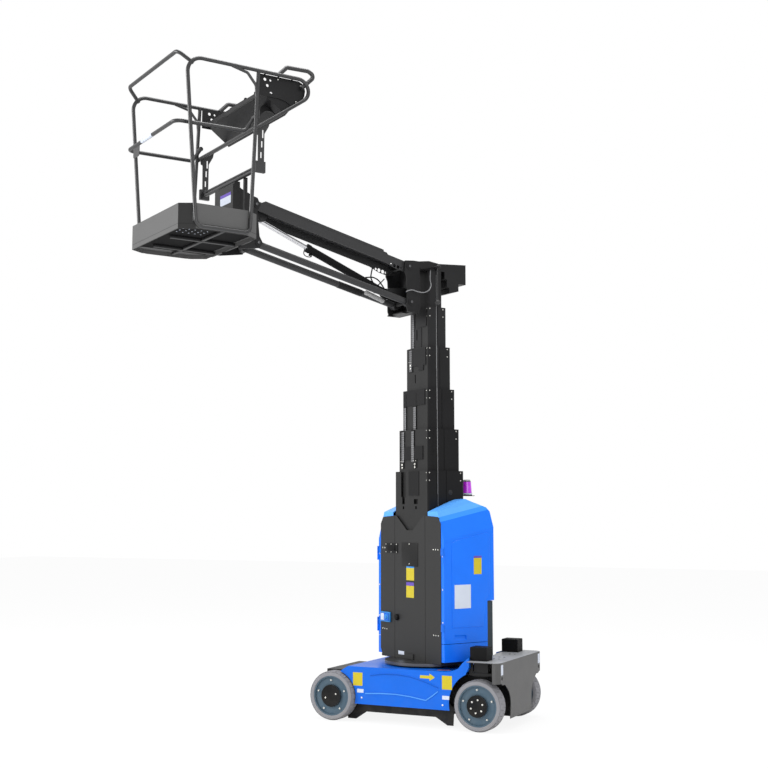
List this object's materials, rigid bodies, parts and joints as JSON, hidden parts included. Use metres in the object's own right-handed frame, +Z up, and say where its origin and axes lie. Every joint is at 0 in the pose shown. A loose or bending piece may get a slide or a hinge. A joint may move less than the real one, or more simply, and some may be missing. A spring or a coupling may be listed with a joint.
{
  "type": "vertical mast lift",
  "caption": "Self-propelled lift with a telescoping vertical mast on a slewing turret and a jib that carries a railed basket.",
  "frame": {"origin": "on the floor under the middle of the bounding box, as parked with the turret slewed", "axes": "+X along the wheelbase to the steered wheels, +Y to the chassis left, +Z up"},
  "size_m": [2.6279, 3.0424, 5.2377],
  "materials": {
    "beacon_lens": "tinted lens",
    "black_plastic": "moulded black plastic",
    "black_steel": "satin black paint",
    "blue_cover": "moulded gloss cover",
    "cast_grey": "painted casting",
    "chrome_rod": "hard chrome",
    "grey_sheet": "dark grey powder coat",
    "rim_slate": "slate paint",
    "ring_steel": "machined steel",
    "tyre_grey": "non-marking solid rubber"
  },
  "bodies": {
    "chassis": {"chassis_frame": "black_steel", "steer_frame": "black_steel", "chassis_cover": "blue_cover", "steer_end_cover": "grey_sheet", "pin_boxes": "black_plastic", "belly_skirt": "black_steel", "slew_ring": "ring_steel"},
    "knuckle_right": {"knuckle_right": "black_steel"},
    "knuckle_left": {"knuckle_left": "black_steel"},
    "track_rod": {"tie_rod": "black_steel"},
    "wheel_drive_right": {"tyre_drive_right": "tyre_grey", "rim_drive_right": "rim_slate"},
    "wheel_drive_left": {"tyre_drive_left": "tyre_grey", "rim_drive_left": "rim_slate"},
    "wheel_steer_right": {"tyre_steer_right": "tyre_grey", "rim_steer_right": "rim_slate"},
    "wheel_steer_left": {"tyre_steer_left": "tyre_grey", "rim_steer_left": "rim_slate"},
    "turret": {"turret_frame": "grey_sheet", "lower_skirts": "blue_cover", "counterweight": "cast_grey", "battery_block": "black_steel", "beacon": "beacon_lens", "mast_section_1": "black_steel"},
    "cover_left": {"door_left": "blue_cover"},
    "cover_right": {"door_right": "blue_cover"},
    "stage_2": {"mast_section_2": "black_steel"},
    "stage_3": {"mast_section_3": "black_steel"},
    "stage_4": {"mast_section_4": "black_steel"},
    "stage_5": {"mast_section_5": "black_steel"},
    "stage_6": {"mast_section_6": "black_steel", "mast_head": "black_steel"},
    "jib": {"jib_beam": "black_steel"},
    "jib_link": {"jib_links": "black_steel"},
    "cylinder_barrel": {"jib_barrel": "black_steel"},
    "cylinder_rod": {"jib_rod": "chrome_rod"},
    "basket": {"basket_pan": "black_steel", "basket_rails": "black_steel", "basket_mount": "black_steel", "console": "black_steel", "control_box": "black_plastic", "document_box": "black_plastic"},
    "gate": {"gate_bar": "black_steel"}
  },
  "joints": [
    {"name": "slew", "type": "hinge", "parent": "chassis", "child": "turret", "pos_m": [0.4536, 0.966, 0.49], "axis": [0, 0, 1], "range_deg": [-231.9, 113.1]},
    {"name": "steer_left", "type": "hinge", "parent": "chassis", "child": "knuckle_left", "pos_m": [1.1136, 1.304, 0.2], "axis": [0, 0, 1], "range_deg": [-35, 35]},
    {"name": "steer_right", "type": "hinge", "parent": "chassis", "child": "knuckle_right", "pos_m": [1.1136, 0.628, 0.2], "axis": [0, 0, 1], "range_deg": [-35, 35]},
    {"name": "track_rod_pivot", "type": "hinge", "parent": "knuckle_left", "child": "track_rod", "pos_m": [0.9786, 1.304, 0.186], "axis": [0, 0, 1], "range_deg": [-35, 35]},
    {"name": "spin_drive_right", "type": "hinge", "parent": "chassis", "child": "wheel_drive_right", "pos_m": [-0.2064, 0.532, 0.203], "axis": [0, 1, 0], "continuous": true},
    {"name": "spin_drive_left", "type": "hinge", "parent": "chassis", "child": "wheel_drive_left", "pos_m": [-0.2064, 1.4, 0.203], "axis": [0, 1, 0], "continuous": true},
    {"name": "spin_steer_right", "type": "hinge", "parent": "knuckle_right", "child": "wheel_steer_right", "pos_m": [1.1136, 0.532, 0.203], "axis": [0, 1, 0], "continuous": true},
    {"name": "spin_steer_left", "type": "hinge", "parent": "knuckle_left", "child": "wheel_steer_left", "pos_m": [1.1136, 1.4, 0.203], "axis": [0, 1, 0], "continuous": true},
    {"name": "cover_left_hinge", "type": "hinge", "parent": "turret", "child": "cover_left", "pos_m": [0.78953, 0.5675, 1.1], "axis": [0, 0, -1], "range_deg": [0, 95]},
    {"name": "cover_right_hinge", "type": "hinge", "parent": "turret", "child": "cover_right", "pos_m": [-0.05744, 1.0684, 1.1], "axis": [0, 0, 1], "range_deg": [0, 95]},
    {"name": "mast_slide_1", "type": "slide", "parent": "turret", "child": "stage_2", "axis": [0, 0, 1], "range_m": [-0.3, 0.55]},
    {"name": "mast_slide_2", "type": "slide", "parent": "stage_2", "child": "stage_3", "axis": [0, 0, 1], "range_m": [-0.3, 0.55]},
    {"name": "mast_slide_3", "type": "slide", "parent": "stage_3", "child": "stage_4", "axis": [0, 0, 1], "range_m": [-0.3, 0.55]},
    {"name": "mast_slide_4", "type": "slide", "parent": "stage_4", "child": "stage_5", "axis": [0, 0, 1], "range_m": [-0.3, 0.55]},
    {"name": "mast_slide_5", "type": "slide", "parent": "stage_5", "child": "stage_6", "axis": [0, 0, 1], "range_m": [-0.3, 0.55]},
    {"name": "jib_lift", "type": "hinge", "parent": "stage_6", "child": "jib", "pos_m": [0.31616, 0.7336, 3.85], "axis": [-0.8607, 0.509, 0], "range_deg": [-72.8, 57.2]},
    {"name": "jib_link_pivot", "type": "hinge", "parent": "stage_6", "child": "jib_link", "pos_m": [0.32634, 0.75081, 3.54], "axis": [-0.8607, 0.509, 0], "range_deg": [-72.8, 57.2]},
    {"name": "basket_level", "type": "hinge", "parent": "jib", "child": "basket", "pos_m": [-0.43836, -0.54222, 4.18675], "axis": [-0.8607, 0.509, 0], "range_deg": [-57.2, 72.8]},
    {"name": "cylinder_swing", "type": "hinge", "parent": "stage_6", "child": "cylinder_barrel", "pos_m": [0.23471, 0.59588, 3.625], "axis": [-0.8607, 0.509, 0], "range_deg": [-78, 61.5]},
    {"name": "cylinder_stroke", "type": "slide", "parent": "cylinder_barrel", "child": "cylinder_rod", "axis": [-0.4746, -0.8025, 0.3615], "range_m": [-0.33, 0.33]},
    {"name": "gate_hinge", "type": "hinge", "parent": "basket", "child": "gate", "pos_m": [-0.54158, -0.71675, 4.765], "axis": [-0.8607, 0.509, 0], "range_deg": [0, 70]}
  ],
  "couplings": [
    {"joint": "steer_right", "follows": "steer_left", "ratio": 1},
    {"joint": "track_rod_pivot", "follows": "steer_left", "ratio": -1},
    {"joint": "mast_slide_2", "follows": "mast_slide_1", "ratio": 1},
    {"joint": "mast_slide_3", "follows": "mast_slide_1", "ratio": 1},
    {"joint": "mast_slide_4", "follows": "mast_slide_1", "ratio": 1},
    {"joint": "mast_slide_5", "follows": "mast_slide_1", "ratio": 1},
    {"joint": "jib_link_pivot", "follows": "jib_lift", "ratio": 1},
    {"joint": "basket_level", "follows": "jib_lift", "ratio": -1},
    {"joint": "cylinder_swing", "follows": "jib_lift", "ratio": 1.06},
    {"joint": "cylinder_stroke", "follows": "jib_lift", "m_per_rad": 0.2}
  ]
}
